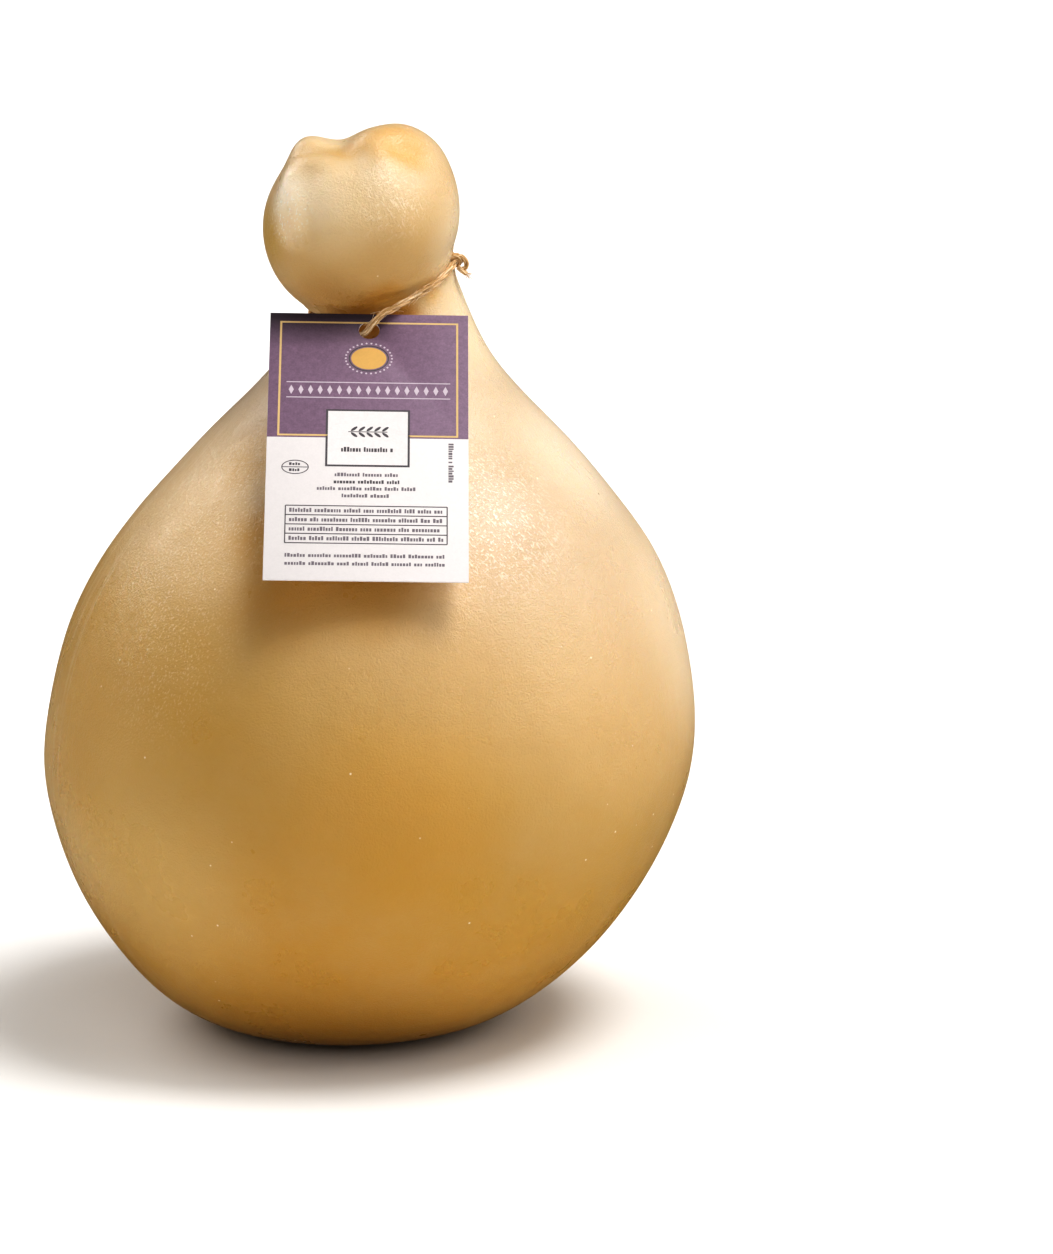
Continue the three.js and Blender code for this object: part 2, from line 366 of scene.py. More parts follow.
@dataclass(frozen=True)
class RindFinish:
    """Ripened stretched-curd rind: waxy, slightly translucent, with fine leathery ridges and sparse specks.

    The eye sees straw yellow that is paler towards the neck and deeper amber on the low belly, paler again on
    the lit right side, which is painted light; a soft gloss with pale painted highlights on the shoulders and
    the head;
    faint pale lines down the flanks, partly a painted edge sheen; places of painted light and painted shade,
    such as the tag's painted shadow and painted shade under the head and along the twine; pale flecks and
    brown pits.
    """

    # Tones along a height that leans towards the lit right side: the deeper amber low down is the rind's own,
    # the paler upper end is partly painted light.
    tones: tuple[str, ...] = ("#ca9b4d", "#c99e51", "#c9a362", "#cead7d", "#cfb594", "#d3bda0")
    tone_rise_mm: Span = (35.0, 175.0)
    lit_side_lean: float = 0.45
    cloud: str = "#d6b988"
    cloud_mm: float = 24.0
    cloud_share: float = 0.2
    cloud_edge: Span = (0.42, 0.75)
    spot_edge: Span = (1.0, 0.15)
    ridge_mm: float = 1.1
    ridge_width: float = 0.1
    ridge_rise_mm: Span = (85.0, 125.0)
    ridge_rise_shares: Span = (0.35, 1.0)
    ridge_cloud: Span = (0.35, 0.62)
    ridge_gap_share: float = 0.2
    # Sizes and leans of the marks of painted highlight; the same marks stand up a little as relief.
    mark_edge: Span = (0.58, 0.68)
    stroke_mm: float = 0.5
    stroke_long: float = 6.0
    stroke_leans: Span = (0.95, -0.5)
    wander_mm: float = 8.0
    bend_mm: float = 1.6
    fleck_mm: float = 0.45
    fleck_long: float = 1.8
    fleck_lean: float = 0.4
    grain_mm: float = 0.5
    lump_mm: float = 9.0
    drawn_mm: float = 1.3
    drawn_long: float = 0.06
    # Pale colour of the lines, partly a painted edge sheen on the flanks.
    drawn_sheen: str = "#e6d0b2"
    drawn_share: float = 0.5
    drawn_edge: Span = (0.5, 0.7)
    drawn_aside: Span = (-0.55, -0.2)
    drawn_left: Span = (0.3, -0.5)
    drawn_right_share: float = 0.3
    drawn_behind: Span = (0.0, 0.5)
    drawn_back_shares: Span = (1.0, 0.35)
    flank_radius_mm: float = 80.0
    roughness: Span = (0.24, 0.36)
    gloss_edge: Span = (0.3, 0.7)
    shine: float = 0.4
    translucency: float = 0.2
    scatter_mm: float = 3.5
    scatter: Point = (1.0, 0.5, 0.18)
    relief: Relief = Relief()
    # Places of another tone: the head's own base tone, a few paler or deeper places, and many places of
    # painted light and painted shade, named one by one below.
    tones_and_painted_light: tuple[Patch, ...] = (
        # Painted sheen on the left shoulder.
        Patch((-31.0, -28.0, 142.0), 40.0, "#dfbf90", 0.6),
        # Paler tone on the lower left flank.
        Patch((-46.0, -58.0, 54.0), 44.0, "#d9b778", 0.75),
        # Painted sheen along the left edge.
        Patch((-76.0, -12.0, 70.0), 46.0, "#e6cb9c", 0.5),
        # Paler tone low on the left flank.
        Patch((-66.0, -36.0, 48.0), 26.0, "#e2c490", 0.5),
        # Painted contact shade round the foot.
        Patch((0.0, -40.0, 6.0), 46.0, "#a87830", 0.7),
        # Painted light on the right flank and on the right shoulder beside the neck.
        Patch((84.0, -8.0, 106.0), 40.0, "#ecd6b6", 0.75),
        Patch((58.0, -12.0, 146.0), 28.0, "#ead8be", 0.8),
        # Deeper amber on the low front belly: partly the rind's own tone, partly painted warm bounce light.
        Patch((16.0, -82.0, 66.0), 36.0, "#d09c3e", 0.6),
        # Painted highlight right of the tag: a darker ground under its pale marks and a pale painted glow in
        # their middle.
        Patch((36.0, -50.0, 134.0), 28.0, "#c6a582", 0.4),
        Patch((38.0, -46.0, 137.0), 14.0, "#f2ded0", 0.2),
        # Painted light on the lit strip between the tag's shadow and the left shoulder.
        Patch((-27.0, -52.0, 126.0), 18.0, "#dcbb8a", 0.7),
        # Painted shadow of the tag, below it and down its left side.
        Patch((-9.0, -62.0, 119.0), 20.0, "#bd8a38", 0.8),
        Patch((9.0, -64.0, 122.0), 20.0, "#bd8a38", 0.8),
        Patch((-17.0, -52.0, 131.0), 12.0, "#c8974a", 0.7),
        Patch((-20.0, -33.0, 147.0), 14.0, "#cfa45e", 0.6),
        # The head's own base tone.
        Patch((4.0, -10.0, 198.0), 42.0, "#d0a760", 1.0),
        # Painted light on the head's front, upper right and right side.
        Patch((-2.0, -26.5, 207.0), 18.0, "#eed3a6", 0.9),
        Patch((11.0, -22.0, 214.0), 20.0, "#d6bf9c", 0.8),
        Patch((28.0, -8.0, 198.0), 18.0, "#ecdabc", 0.6),
        # Painted shade under the head and along the twine round the neck.
        Patch((7.0, -16.0, 178.0), 13.0, "#bd8230", 0.9),
        Patch((15.0, -17.5, 180.0), 6.0, "#c98d34", 0.8),
        Patch((21.5, -13.5, 184.5), 4.5, "#d9a858", 0.6),
        Patch((11.0, -18.5, 184.5), 7.0, "#d09a48", 0.6),
        Patch((-3.0, -19.0, 183.0), 13.0, "#bf9356", 0.7),
        # Painted highlight on the head's left ridge.
        Patch((-13.0, -19.5, 208.5), 11.0, "#fff0d8", 0.8),
        Patch((-11.5, -22.0, 201.0), 7.5, "#ffe6c0", 0.6),
        # Painted light on the right side of the neck.
        Patch((33.0, -4.0, 176.0), 20.0, "#e6d2b2", 0.9),
        # Painted shade on the head's left side.
        Patch((-17.0, -13.0, 199.0), 12.0, "#c39c42", 0.7),
        # Painted light on the head's top and on the crease beside its left ridge.
        Patch((-3.0, -5.0, 220.0), 10.0, "#ecd6b0", 0.6),
        Patch((-4.0, -25.5, 208.0), 10.0, "#ffe9c8", 0.6),
        # Deeper amber in the dents on the head's top.
        Patch((2.0, -15.0, 218.5), 7.0, "#d5a456", 0.5),
        Patch((14.0, -15.0, 220.5), 12.0, "#d6a450", 0.7),
        Patch((19.0, -15.5, 218.5), 8.0, "#d8ac5e", 0.35),
    )
    # Painted highlight: pale marks right of the tag, on the left shoulder and on the head, which also stand
    # up a little as relief.
    painted_glints: tuple[PaintedGlints, ...] = (
        PaintedGlints((35.0, -48.0, 136.0), 30.0, "#fff6e6", 0.6, Catch.STROKES),
        PaintedGlints((-36.0, -34.0, 132.0), 40.0, "#f8e6c4", 0.55, Catch.FLECKS),
        PaintedGlints((-40.0, -56.0, 104.0), 30.0, "#f4dfb8", 0.35, Catch.FLECKS),
        PaintedGlints((13.0, -26.0, 208.0), 14.0, "#fff2d8", 0.32, Catch.STROKES),
        PaintedGlints((-12.5, -20.5, 204.0), 10.0, "#fff8ea", 0.9, Catch.FLECKS),
    )
    speck_edge: Span = (1.0, 0.4)
    specks: tuple[Specks, ...] = (
        Specks(5.5, 0.36, 0.6, "#fff0d2"),
        Specks(17.0, 0.4, 0.5, "#8a5a26"),
    )

    def material(self) -> Material:
        """Makes the rind's material.

        Returns:
            The material.
        """
        material, tree = new_material("ripened_curd_rind")
        place = add_node(tree, "TexCoord")["Object"]
        cloud = add_node(tree, "TexNoise", {
            "Vector": place, "Scale": per_mm(self.cloud_mm), "Detail": 4.0, "Roughness": 0.6})["Fac"]
        crease = self._creases(tree, place)
        lines = self._drawn_lines_and_edge_sheen(tree, place)
        # Pale lines with painted edge sheen, then the marks of painted highlight, over the tone.
        colour = self._blend(tree, lines, self._tone(tree, place, cloud), self.drawn_sheen)
        colour, raised = self._paint_glints(tree, place, colour)
        gloss = add_node(tree, "MapRange", {
            "Value": cloud, **ends("From", self.gloss_edge), **ends("To", self.roughness)})
        surface(tree, {
            "Base Color": self._speckle(tree, place, colour),
            "Normal": self._bumps(tree, place, cloud, (crease, raised, lines)),
            "Roughness": gloss["Result"],
            "Specular IOR Level": self.shine,
            "Subsurface Weight": self.translucency,
            "Subsurface Radius": self.scatter,
            "Subsurface Scale": self.scatter_mm * MM,
        })
        return material

    def _blend(self, tree: Tree, share: Socket, under: Socket, colour: str) -> Socket:
        """Lays a colour over another.

        Args:
            tree: the rind's node tree.
            share: how much of the colour shows.
            under: the colour so far.
            colour: sRGB hex of the colour on top.

        Returns:
            The blended colour.
        """
        inputs = {"Factor": share, "A": under, "B": linear(colour)}
        return add_node(tree, "Mix", inputs, data_type="RGBA")["Result"]

    def _near(self, tree: Tree, place: Socket, spot: Patch) -> Socket:
        """Makes a soft mask round a spot.

        Args:
            tree: the rind's node tree.
            place: object coordinates.
            spot: where the mask is full and how far it reaches.

        Returns:
            The spot's share near its centre, falling to nothing at its reach.
        """
        centre = tuple(c * MM for c in spot.centre)
        away = add_node(tree, "VectorMath", {0: place, 1: centre}, operation="DISTANCE")
        return add_node(tree, "MapRange", {
            "Value": away["Value"], **ends("From", self.spot_edge, spot.reach * MM),
            "To Max": spot.share}, interpolation_type="SMOOTHSTEP")["Result"]

    def _tone(self, tree: Tree, place: Socket, cloud: Socket) -> Socket:
        """Makes the slow change of tone: along a height that leans towards the lit right side, partly painted
        light, in clouds and in the named places, many of them painted light and shade.

        Args:
            tree: the rind's node tree.
            place: object coordinates.
            cloud: slow noise.

        Returns:
            The colour.
        """
        # Partly painted light: the tone rises towards the lit right side as well as upwards.
        height = add_node(tree, "VectorMath", {
            0: place, 1: (self.lit_side_lean, 0.0, 1.0)}, operation="DOT_PRODUCT")
        rise = add_node(tree, "MapRange", {
            "Value": height["Value"], **ends("From", self.tone_rise_mm, MM)})
        ramp = add_node(tree, "ValToRGB", {"Fac": rise["Result"]})["Color"]
        steps = ramp.node.color_ramp.elements
        steps[0].color = linear(self.tones[0])
        steps[1].color = linear(self.tones[-1])
        for i, tone in enumerate(self.tones[1:-1], start=1):
            steps.new(i / (len(self.tones) - 1)).color = linear(tone)
        clouded = add_node(tree, "MapRange", {
            "Value": cloud, **ends("From", self.cloud_edge), "To Max": self.cloud_share})
        colour = self._blend(tree, clouded["Result"], ramp, self.cloud)
        for patch in self.tones_and_painted_light:
            colour = self._blend(tree, self._near(tree, place, patch), colour, patch.colour)
        return colour

    def _creases(self, tree: Tree, place: Socket) -> Socket:
        """Makes the net of fine wandering ridges.

        Args:
            tree: the rind's node tree.
            place: object coordinates.

        Returns:
            Distance from the nearest ridge's line, in steps of the noise.
        """
        sway = add_node(tree, "TexNoise", {"Vector": place, "Scale": per_mm(self.wander_mm)})
        bend = (self.bend_mm * MM,) * 3
        warped = add_node(tree, "VectorMath", {
            0: sway["Color"], 1: bend, 2: place}, operation="MULTIPLY_ADD")
        folds = add_node(tree, "TexNoise", {
            "Vector": warped["Vector"], "Scale": per_mm(self.ridge_mm),
            "Detail": 3.0, "Roughness": 0.55})
        centred = add_node(tree, "Math", {0: folds["Fac"], 1: 0.5}, operation="SUBTRACT")
        gap = add_node(tree, "Math", {0: centred["Value"]}, operation="ABSOLUTE")
        return gap["Value"]

    def _drawn_lines_and_edge_sheen(self, tree: Tree, place: Socket) -> Socket:
        """Draws faint pale lines from neck to foot, clearest on the left flank; their paleness is partly a
        painted edge sheen, faded in where the surface faces aside.

        Args:
            tree: the rind's node tree.
            place: object coordinates.

        Returns:
            How much of the pale line colour shows.
        """
        flat = add_node(tree, "VectorMath", {0: place, 1: (1.0, 1.0, 0.0)}, operation="MULTIPLY")
        around = add_node(tree, "VectorMath", {0: flat["Vector"]}, operation="NORMALIZE")
        upright = add_node(tree, "VectorMath", {
            0: place, 1: (0.0, 0.0, self.drawn_long)}, operation="MULTIPLY")
        radius = self.flank_radius_mm * MM
        unrolled = add_node(tree, "VectorMath", {
            0: around["Vector"], 1: (radius, radius, 0.0), 2: upright["Vector"]},
            operation="MULTIPLY_ADD")
        lines = add_node(tree, "TexNoise", {
            "Vector": unrolled["Vector"], "Scale": per_mm(self.drawn_mm), "Detail": 2.0})
        crest = add_node(tree, "MapRange", {
            "Value": lines["Fac"], **ends("From", self.drawn_edge), "To Max": self.drawn_share})
        # Painted edge sheen: the lines show where the surface faces aside, most on the left flank and less
        # behind.
        normal = add_node(tree, "TexCoord")["Normal"]
        facing = add_node(tree, "SeparateXYZ", {"Vector": normal})
        fades = (
            {"Value": facing["Y"], **ends("From", self.drawn_aside)},
            {"Value": facing["X"], **ends("From", self.drawn_left), "To Min": self.drawn_right_share},
            {"Value": facing["Y"], **ends("From", self.drawn_behind), **ends("To", self.drawn_back_shares)},
        )
        shown = crest["Result"]
        for fade in fades:
            part = add_node(tree, "MapRange", fade)
            shown = add_node(tree, "Math", {
                0: shown, 1: part["Result"]}, operation="MULTIPLY")["Value"]
        return shown

    def _laid(self, tree: Tree, place: Socket, lean: float, long: float, size_mm: float) -> Socket:
        """Makes sparse marks that all lie one way.

        Args:
            tree: the rind's node tree.
            place: object coordinates.
            lean: how far the marks lean from the upright, in radians.
            long: how many times longer than wide they are.
            size_mm: their width.

        Returns:
            One on a mark and nothing beside it.
        """
        turned = add_node(tree, "Mapping", {
            "Vector": place, "Rotation": (0.0, lean, 0.0), "Scale": (1.0, 1.0, long)}, vector_type="TEXTURE")
        marks = add_node(tree, "TexNoise", {
            "Vector": turned["Vector"], "Scale": per_mm(size_mm), "Detail": 1.0})
        return add_node(tree, "MapRange", {
            "Value": marks["Fac"], **ends("From", self.mark_edge)})["Result"]

    def _paint_glints(self, tree: Tree, place: Socket, colour: Socket) -> tuple[Socket, Socket]:
        """Paints pale marks of painted highlight in the named places; the same marks also stand up as relief.

        Args:
            tree: the rind's node tree.
            place: object coordinates.
            colour: the colour so far.

        Returns:
            The colour with the painted highlight, and how far each place stands up, from nothing to one.
        """
        one, other = (
            self._laid(tree, place, lean, self.stroke_long, self.stroke_mm) for lean in self.stroke_leans)
        crossing = add_node(tree, "Math", {0: one, 1: other}, operation="MAXIMUM")
        flecks = self._laid(tree, place, self.fleck_lean, self.fleck_long, self.fleck_mm)
        pattern = {Catch.STROKES: crossing["Value"], Catch.FLECKS: flecks}
        raised = None
        for painted_glints in self.painted_glints:
            near = self._near(tree, place, painted_glints)
            share = add_node(tree, "Math", {
                0: near, 1: pattern[painted_glints.catch]}, operation="MULTIPLY")["Value"]
            colour = self._blend(tree, share, colour, painted_glints.colour)
            raised = share if raised is None else add_node(tree, "Math", {
                0: raised, 1: share}, operation="MAXIMUM")["Value"]
        return colour, raised

    def _speckle(self, tree: Tree, place: Socket, colour: Socket) -> Socket:
        """Sets the sparse flecks and pits.

        Args:
            tree: the rind's node tree.
            place: object coordinates.
            colour: the colour so far.

        Returns:
            The colour with specks.
        """
        for kind in self.specks:
            cells = add_node(tree, "TexVoronoi", {"Vector": place, "Scale": per_mm(kind.gap)})
            spot = add_node(tree, "MapRange", {
                "Value": cells["Distance"], **ends("From", self.speck_edge, kind.size / kind.gap)})
            pick = add_node(tree, "SeparateColor", {"Color": cells["Color"]})
            there = add_node(tree, "Math", {
                0: pick["Red"], 1: kind.missing}, operation="GREATER_THAN")
            share = add_node(tree, "Math", {
                0: spot["Result"], 1: there["Value"]}, operation="MULTIPLY")
            colour = self._blend(tree, share["Value"], colour, kind.colour)
        return colour

    def _bumps(self, tree: Tree, place: Socket, cloud: Socket, forms: tuple[Socket, ...]) -> Socket:
        """Makes the rind's fine relief: grain, ridges that thin out down the belly, marks, lumps and lines.

        Args:
            tree: the rind's node tree.
            place: object coordinates.
            cloud: slow noise, which thins the ridges out.
            forms: distance from the ridges' lines, height of the marks and of the drawn lines.

        Returns:
            The bumped normal.
        """
        grain = add_node(tree, "TexNoise", {
            "Vector": place, "Scale": per_mm(self.grain_mm), "Detail": 2.0})
        lump = add_node(tree, "TexNoise", {
            "Vector": place, "Scale": per_mm(self.lump_mm), "Detail": 2.0})
        crease, raised, lines = forms
        height = add_node(tree, "SeparateXYZ", {"Vector": place})["Z"]
        up = add_node(tree, "MapRange", {
            "Value": height, **ends("From", self.ridge_rise_mm, MM), **ends("To", self.ridge_rise_shares)})
        often = add_node(tree, "MapRange", {
            "Value": cloud, **ends("From", self.ridge_cloud),
            "To Min": self.ridge_gap_share, "To Max": up["Result"]})
        ridge = add_node(tree, "MapRange", {
            "Value": crease, **ends("From", (self.ridge_width, 0.0)), "To Max": often["Result"]},
            interpolation_type="SMOOTHSTEP")
        depths = (
            (grain["Fac"], self.relief.grain),
            (ridge["Result"], self.relief.ridge),
            (raised, self.relief.stroke),
            (lump["Fac"], self.relief.lump),
            (lines, self.relief.drawn_sheen),
        )
        under: dict[str, Socket] = {}
        for form, depth_mm in depths:
            bump = add_node(tree, "Bump", {
                "Height": form, "Strength": 1.0, "Distance": depth_mm * MM, **under})
            under = {"Normal": bump["Normal"]}
        return under["Normal"]


class JuteTone(Enum):
    """Tones of single jute yarns, as sRGB hex colours."""

    SHADE = "#b8935f"
    BODY = "#d4b084"
    LIGHT = "#ecd4b0"


@dataclass(frozen=True)
class JuteFinish:
    """Spun jute: dull tan bast fibres, each yarn a little darker or paler than the next and uneven."""

    mottle_mm: float = 1.6
    mottle_edge: Span = (0.3, 0.7)
    uneven: float = 0.16
    hair_mm: float = 0.2
    hair_depth_mm: float = 0.05
    roughness: float = 0.85
    sheen: float = 0.15

    def material(self, tone: JuteTone) -> Material:
        """Makes the jute of one yarn.

        Args:
            tone: how dark or pale the yarn is.

        Returns:
            The material, one for each tone.
        """
        label = f"spun_jute_{tone.name.lower()}"
        if label in bpy.data.materials:
            return bpy.data.materials[label]
        material, tree = new_material(label)
        place = add_node(tree, "TexCoord")["Object"]
        mottle = add_node(tree, "TexNoise", {
            "Vector": place, "Scale": per_mm(self.mottle_mm), "Detail": 3.0})
        value = add_node(tree, "MapRange", {
            "Value": mottle["Fac"], **ends("From", self.mottle_edge),
            **ends("To", (1 - self.uneven, 1 + self.uneven))})
        tint = add_node(tree, "HueSaturation", {
            "Value": value["Result"], "Color": linear(tone.value)})
        hair = add_node(tree, "TexNoise", {"Vector": place, "Scale": per_mm(self.hair_mm)})
        bump = add_node(tree, "Bump", {
            "Height": hair["Fac"], "Strength": 1.0, "Distance": self.hair_depth_mm * MM})
        surface(tree, {
            "Base Color": tint["Color"],
            "Normal": bump["Normal"],
            "Roughness": self.roughness,
            "Sheen Weight": self.sheen,
        })
        return material


@dataclass(frozen=True)
class CardFinish:
    """Uncoated pulp card and the inks on it: matt, with a faint fibre mottle that the ink follows, and a
    painted shadow of the head across the plum ink's top edge.
    """

    pulp: str = "#e3dddb"
    pulp_roughness: float = 0.75
    pulp_mottle: float = 0.03
    ink_mottle: float = 0.05
    plum_mottle: float = 0.2
    mottle_mm: float = 1.4
    mottle_edge: Span = (0.6, 1.4)
    grain_mm: float = 0.45
    grain_depth_mm: float = 0.05
    grain_strength: float = 0.12
    # Painted shadow of the head on the plum ink: the heights and sides it spans, and in dim the lightness
    # left at its deepest.
    head_shadow_rise_mm: Span = (172.8, 179.2)
    head_shadow_side_mm: Span = (15.0, 9.0)
    dim: float = 0.2

    def material(self, label: str, colour: str, roughness: float, depth: float,
                 head_shadowed: bool = False) -> Material:
        """Makes bare card or an ink that has sunk into it.

        Args:
            label: the material's name.
            colour: sRGB hex colour.
            roughness: roughness of the surface.
            depth: how strongly the fibre mottle lightens and darkens the colour.
            head_shadowed: whether the ink carries the painted shadow of the head, deeper up to the card's top
                edge, left of the hole.

        Returns:
            The material.
        """
        material, tree = new_material(label)
        place = add_node(tree, "TexCoord")["Object"]
        mottle = add_node(tree, "TexNoise", {
            "Vector": place, "Scale": per_mm(self.mottle_mm), "Detail": 3.0, "Roughness": 0.65})
        grain = add_node(tree, "TexNoise", {
            "Vector": place, "Scale": per_mm(self.grain_mm), "Detail": 2.0})["Fac"]
        both = add_node(tree, "Math", {0: mottle["Fac"], 1: grain}, operation="ADD")
        value = add_node(tree, "MapRange", {
            "Value": both["Value"], **ends("From", self.mottle_edge),
            **ends("To", (1 - depth, 1 + depth))})["Result"]
        if head_shadowed:
            value = self._paint_head_shadow(tree, place, value)
        tint = add_node(tree, "HueSaturation", {"Value": value, "Color": linear(colour)})
        bump = add_node(tree, "Bump", {
            "Height": grain, "Strength": self.grain_strength, "Distance": self.grain_depth_mm * MM})
        surface(tree, {
            "Base Color": tint["Color"], "Normal": bump["Normal"], "Roughness": roughness})
        return material

    def _paint_head_shadow(self, tree: Tree, place: Socket, value: Socket) -> Socket:
        """Paints the head's shadow on the ink: painted shade that deepens towards the card's top edge, left
        of the hole.

        Args:
            tree: the ink's node tree.
            place: object coordinates.
            value: the ink's lightness so far.

        Returns:
            The lightness with the painted shadow.
        """
        spot = add_node(tree, "SeparateXYZ", {"Vector": place})
        upper = add_node(tree, "MapRange", {
            "Value": spot["Z"], **ends("From", self.head_shadow_rise_mm, MM), "To Max": 1 - self.dim})
        aside = add_node(tree, "MapRange", {"Value": spot["X"], **ends("From", self.head_shadow_side_mm, MM)})
        deep = add_node(tree, "Math", {
            0: upper["Result"], 1: aside["Result"]}, operation="MULTIPLY")
        rest = add_node(tree, "Math", {0: 1.0, 1: deep["Value"]}, operation="SUBTRACT")
        return add_node(tree, "Math", {
            0: value, 1: rest["Value"]}, operation="MULTIPLY")["Value"]

    def bare(self) -> Material:
        """Makes the bare card."""
        return self.material("pulp_card", self.pulp, self.pulp_roughness, self.pulp_mottle)

    def inked(self, ink: Ink) -> Material:
        """Makes one ink on the card.

        Args:
            ink: the ink.

        Returns:
            Its material.
        """
        # Only the plum ink carries the painted shadow of the head.
        plum = ink is Ink.PURPLE
        mottle = self.plum_mottle if plum else self.ink_mottle
        return self.material(ink.label, ink.colour, ink.roughness, mottle, head_shadowed=plum)


@dataclass(frozen=True)
class Fold:
    """A soft ridge or hollow of the head, between two directions from its centre, pushed out or in by mm."""

    start: Point
    end: Point
    reach: float
    push: float


@dataclass
class Cheese:
    """The cheese itself: body, neck and head in one piece."""

    node: Obj
    finish: RindFinish = field(default_factory=RindFinish)
    merge_mm: float = 0.005
    quad_deg: float = 60.0
    foot_mm: float = 4.0
    foot_fade_mm: float = 20.0
    swell_mm: float = 0.55
    swell_size_mm: float = 26.0
    bulge_mm: float = 0.55
    bulge_reach_mm: float = 1.5
    bulge_from_mm: float = 2.1
    twine_step_mm: float = 0.8
    head_centre: Point = (4.6, -4.0, 201.3)
    head_reach_mm: float = 32.0
    head_fade_mm: float = 4.0
    folds: tuple[Fold, ...] = (
        Fold((-0.69, -0.57, 0.44), (-0.6, -0.79, -0.14), 0.13, 0.6),
        Fold((-0.5, -0.7, 0.51), (-0.42, -0.9, 0.0), 0.13, -0.25),
        Fold((-0.17, -0.58, 0.8), (0.02, -0.64, 0.76), 0.16, -0.7),
        Fold((0.22, -0.78, 0.59), (-0.12, -0.84, 0.52), 0.2, 0.4),
        Fold((0.4, -0.5, 0.77), (0.62, -0.42, 0.66), 0.14, -0.6),
        Fold((-0.6, -0.34, 0.72), (-0.42, -0.5, 0.75), 0.07, -0.4),
        Fold((-0.15, -0.98, 0.02), (0.4, -0.91, -0.02), 0.36, 1.2),
        Fold((0.0, -0.76, 0.65), (0.5, -0.66, 0.56), 0.28, -0.9),
    )

    def build(self) -> Obj:
        """Copies the solid, refines it and gives it the unevenness of handwork.

        Returns:
            The finished cheese.
        """
        piece = self.node.copy()
        piece.data = self.node.data.copy()
        piece.name = "cheese_rind"
        piece.parent = None
        piece.matrix_world = Matrix.Identity(4)
        bpy.context.scene.collection.objects.link(piece)
        select_only(piece)
        bpy.ops.object.mode_set(mode="EDIT")
        bpy.ops.mesh.select_all(action="SELECT")
        bpy.ops.mesh.remove_doubles(threshold=self.merge_mm * MM)
        bpy.ops.mesh.customdata_custom_splitnormals_clear()
        flat = math.radians(self.quad_deg)
        bpy.ops.mesh.tris_convert_to_quads(face_threshold=flat, shape_threshold=flat)
        bpy.ops.object.mode_set(mode="OBJECT")
        apply_modifier(piece, "SUBSURF", levels=2, render_levels=2)
        self._press(piece)
        select_only(piece)
        bpy.ops.object.shade_smooth()
        return piece

    def _fold_head(self, places: np.ndarray) -> np.ndarray:
        """Works out how far the head's folds push the surface out, in millimetres.

        Args:
            places: points of the surface, in metres.

        Returns:
            The push at each point.
        """
        from_centre = places / MM - np.array(self.head_centre)
        away = np.linalg.norm(from_centre, axis=1)
        facing = from_centre / away[:, None]
        push = np.zeros(len(places))
        for fold in self.folds:
            start = np.array(fold.start) / np.linalg.norm(fold.start)
            end = np.array(fold.end) / np.linalg.norm(fold.end)
            along = end - start
            share = np.clip((facing - start) @ along / max(along @ along, 1e-9), 0, 1)
            gap = np.linalg.norm(facing - (start + share[:, None] * along), axis=1)
            push += fold.push * np.exp(-((gap / fold.reach) ** 2))
        near = np.clip((self.head_reach_mm - away) / self.head_fade_mm, 0, 1)
        return push * near

    def _press(self, piece: Obj) -> None:
        """Adds slow unevenness all over, the head's folds and a swell of curd on both sides of the twine.

        Args:
            piece: the refined cheese.
        """
        walk = smooth_route(TWINE_ROUTE, self.twine_step_mm)
        tree = kdtree.KDTree(len(walk))
        for i, point in enumerate(walk):
            tree.insert(point * MM, i)
        tree.balance()
        count = len(piece.data.vertices)
        places = np.empty(count * 3)
        normals = np.empty(count * 3)
        piece.data.vertices.foreach_get("co", places)
        piece.data.vertices.foreach_get("normal", normals)
        places = places.reshape(-1, 3)
        slow = np.array([noise.noise(Vector(p) / (self.swell_size_mm * MM)) for p in places])
        gap = np.array([tree.find(p)[2] for p in places])
        fade = np.clip((places[:, 2] - self.foot_mm * MM) / (self.foot_fade_mm * MM), 0, 1)
        share = (gap - self.bulge_from_mm * MM) / (self.bulge_reach_mm * MM)
        push = self.swell_mm * slow * fade + self.bulge_mm * np.exp(-share * share) + self._fold_head(places)
        moved = places + normals.reshape(-1, 3) * push[:, None] * MM
        piece.data.vertices.foreach_set("co", moved.ravel())
        piece.data.update()

    def dress(self, piece: Obj) -> None:
        """Gives the cheese its rind.

        Args:
            piece: the finished cheese.
        """
        piece.data.materials.clear()
        piece.data.materials.append(self.finish.material())
        hand_over(piece, "cheese")


